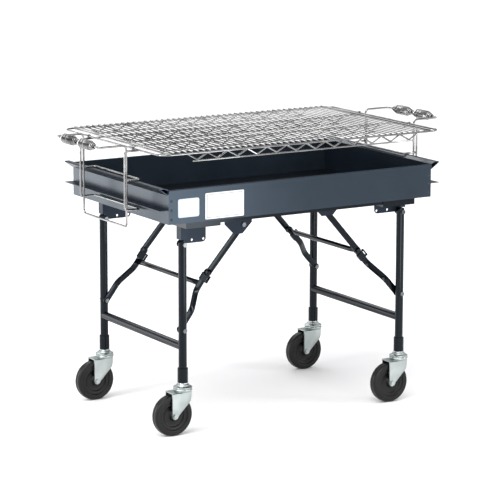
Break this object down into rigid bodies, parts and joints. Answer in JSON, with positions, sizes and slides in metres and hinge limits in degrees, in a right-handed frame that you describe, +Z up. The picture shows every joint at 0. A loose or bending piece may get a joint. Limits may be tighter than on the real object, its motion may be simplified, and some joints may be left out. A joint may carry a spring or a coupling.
{
  "type": "charcoal grill",
  "caption": "Open charcoal grill: shallow steel firebox on folding braced legs with swivel casters, and a lift-off wire cooking grid hung between two spring-grip handle frames.",
  "frame": {"origin": "on the floor under the middle of the grill", "axes": "+X towards the right end as seen from the front, +Y towards the rear, +Z up"},
  "size_m": [1.257, 0.6324, 0.8925],
  "materials": {
    "box_paint": "satin dark slate paint",
    "frame_paint": "satin black paint",
    "chrome_wire": "bright plated wire",
    "bolt_steel": "dark oiled steel",
    "zinc": "bright zinc plate",
    "wheel_rubber": "moulded black rubber"
  },
  "bodies": {
    "firebox": {"firebox_front": "box_paint", "firebox_back": "box_paint", "firebox_left_end": "box_paint", "firebox_right_end": "box_paint", "firebox_floor": "box_paint", "left_end_flanges": "box_paint", "right_end_flanges": "box_paint", "left_cross_channel": "frame_paint", "right_cross_channel": "frame_paint", "base_rails": "frame_paint", "left_leg_brackets": "frame_paint", "right_leg_brackets": "frame_paint", "left_brace_gussets": "frame_paint", "right_brace_gussets": "frame_paint", "frame_bolts": "bolt_steel"},
    "left_legs": {"left_front_tube": "frame_paint", "left_rear_tube": "frame_paint", "left_cross_tube": "frame_paint", "left_sleeves": "frame_paint", "left_brace_bolts": "bolt_steel"},
    "left_upper_brace_bars": {"left_upper_braces": "frame_paint", "left_knuckle_rivets": "frame_paint"},
    "left_lower_brace_frame": {"left_lower_braces": "frame_paint", "left_brace_link": "frame_paint", "left_lock_rings": "frame_paint"},
    "right_legs": {"right_front_tube": "frame_paint", "right_rear_tube": "frame_paint", "right_cross_tube": "frame_paint", "right_sleeves": "frame_paint", "right_brace_bolts": "bolt_steel"},
    "right_upper_brace_bars": {"right_upper_braces": "frame_paint", "right_knuckle_rivets": "frame_paint"},
    "right_lower_brace_frame": {"right_lower_braces": "frame_paint", "right_brace_link": "frame_paint", "right_lock_rings": "frame_paint"},
    "front_left_caster": {"front_left_fork": "zinc", "front_left_axle": "zinc"},
    "front_left_roller": {"front_left_wheel": "wheel_rubber"},
    "rear_left_caster": {"rear_left_fork": "zinc", "rear_left_axle": "zinc"},
    "rear_left_roller": {"rear_left_wheel": "wheel_rubber"},
    "front_right_caster": {"front_right_fork": "zinc", "front_right_axle": "zinc"},
    "front_right_roller": {"front_right_wheel": "wheel_rubber"},
    "rear_right_caster": {"rear_right_fork": "zinc", "rear_right_axle": "zinc"},
    "rear_right_roller": {"rear_right_wheel": "wheel_rubber"},
    "cooking_grid": {"grid_rim": "chrome_wire", "grid_end_rods": "chrome_wire", "grid_cross_wires": "chrome_wire", "grid_outer_trusses": "chrome_wire", "grid_inner_trusses": "chrome_wire"},
    "left_end_frame": {"left_handle_wire": "chrome_wire", "left_hook_wire": "chrome_wire", "left_stirrup": "chrome_wire", "left_grip_springs": "chrome_wire"},
    "right_end_frame": {"right_handle_wire": "chrome_wire", "right_hook_wire": "chrome_wire", "right_stirrup": "chrome_wire", "right_grip_springs": "chrome_wire"}
  },
  "joints": [
    {"name": "left_leg_fold", "type": "hinge", "parent": "firebox", "child": "left_legs", "pos_m": [-0.395, 0, 0.584], "axis": [0, 1, 0], "range_deg": [-83, 0]},
    {"name": "left_upper_brace_fold", "type": "hinge", "parent": "firebox", "child": "left_upper_brace_bars", "pos_m": [-0.156, 0, 0.614], "axis": [0, 1, 0], "range_deg": [0, 29.7]},
    {"name": "left_lower_brace_fold", "type": "hinge", "parent": "left_legs", "child": "left_lower_brace_frame", "pos_m": [-0.395, 0, 0.321], "axis": [0, 1, 0], "range_deg": [-43.4, 0]},
    {"name": "right_leg_fold", "type": "hinge", "parent": "firebox", "child": "right_legs", "pos_m": [0.395, 0, 0.61], "axis": [0, 1, 0], "range_deg": [0, 83]},
    {"name": "right_upper_brace_fold", "type": "hinge", "parent": "firebox", "child": "right_upper_brace_bars", "pos_m": [0.133, 0, 0.64], "axis": [0, 1, 0], "range_deg": [-33.9, 0]},
    {"name": "right_lower_brace_fold", "type": "hinge", "parent": "right_legs", "child": "right_lower_brace_frame", "pos_m": [0.395, 0, 0.347], "axis": [0, 1, 0], "range_deg": [0, 45.8]},
    {"name": "front_left_swivel", "type": "hinge", "parent": "left_legs", "child": "front_left_caster", "pos_m": [-0.395, -0.25, 0.1605], "axis": [0, 0, 1], "continuous": true},
    {"name": "front_left_roll", "type": "hinge", "parent": "front_left_caster", "child": "front_left_roller", "pos_m": [-0.4324, -0.25, 0.0635], "axis": [0, 1, 0], "continuous": true},
    {"name": "rear_left_swivel", "type": "hinge", "parent": "left_legs", "child": "rear_left_caster", "pos_m": [-0.395, 0.25, 0.1605], "axis": [0, 0, -1], "continuous": true},
    {"name": "rear_left_roll", "type": "hinge", "parent": "rear_left_caster", "child": "rear_left_roller", "pos_m": [-0.4324, 0.25, 0.0635], "axis": [0, 1, 0], "continuous": true},
    {"name": "front_right_swivel", "type": "hinge", "parent": "right_legs", "child": "front_right_caster", "pos_m": [0.395, -0.25, 0.1605], "axis": [0, 0, 1], "continuous": true},
    {"name": "front_right_roll", "type": "hinge", "parent": "front_right_caster", "child": "front_right_roller", "pos_m": [0.3576, -0.25, 0.0635], "axis": [0, 1, 0], "continuous": true},
    {"name": "rear_right_swivel", "type": "hinge", "parent": "right_legs", "child": "rear_right_caster", "pos_m": [0.395, 0.25, 0.1605], "axis": [0, 0, -1], "continuous": true},
    {"name": "rear_right_roll", "type": "hinge", "parent": "rear_right_caster", "child": "rear_right_roller", "pos_m": [0.3576, 0.25, 0.0635], "axis": [0, 1, 0], "continuous": true},
    {"name": "grid_lift", "type": "slide", "parent": "firebox", "child": "cooking_grid", "axis": [0, 0, 1], "range_m": [0, 0.064]},
    {"name": "left_frame_swing", "type": "hinge", "parent": "cooking_grid", "child": "left_end_frame", "pos_m": [-0.5, 0, 0.867], "axis": [0, 1, 0], "range_deg": [0, 40.1]},
    {"name": "right_frame_swing", "type": "hinge", "parent": "cooking_grid", "child": "right_end_frame", "pos_m": [0.5, 0, 0.867], "axis": [0, 1, 0], "range_deg": [-40.1, 0]}
  ],
  "couplings": [
    {"joint": "left_upper_brace_fold", "follows": "left_leg_fold", "ratio": -0.35579},
    {"joint": "left_lower_brace_fold", "follows": "left_leg_fold", "ratio": 0.5203},
    {"joint": "right_upper_brace_fold", "follows": "right_leg_fold", "ratio": -0.40579},
    {"joint": "right_lower_brace_fold", "follows": "right_leg_fold", "ratio": 0.54899},
    {"joint": "left_frame_swing", "follows": "grid_lift", "rad_per_m": 10.908},
    {"joint": "right_frame_swing", "follows": "grid_lift", "rad_per_m": -10.908}
  ]
}
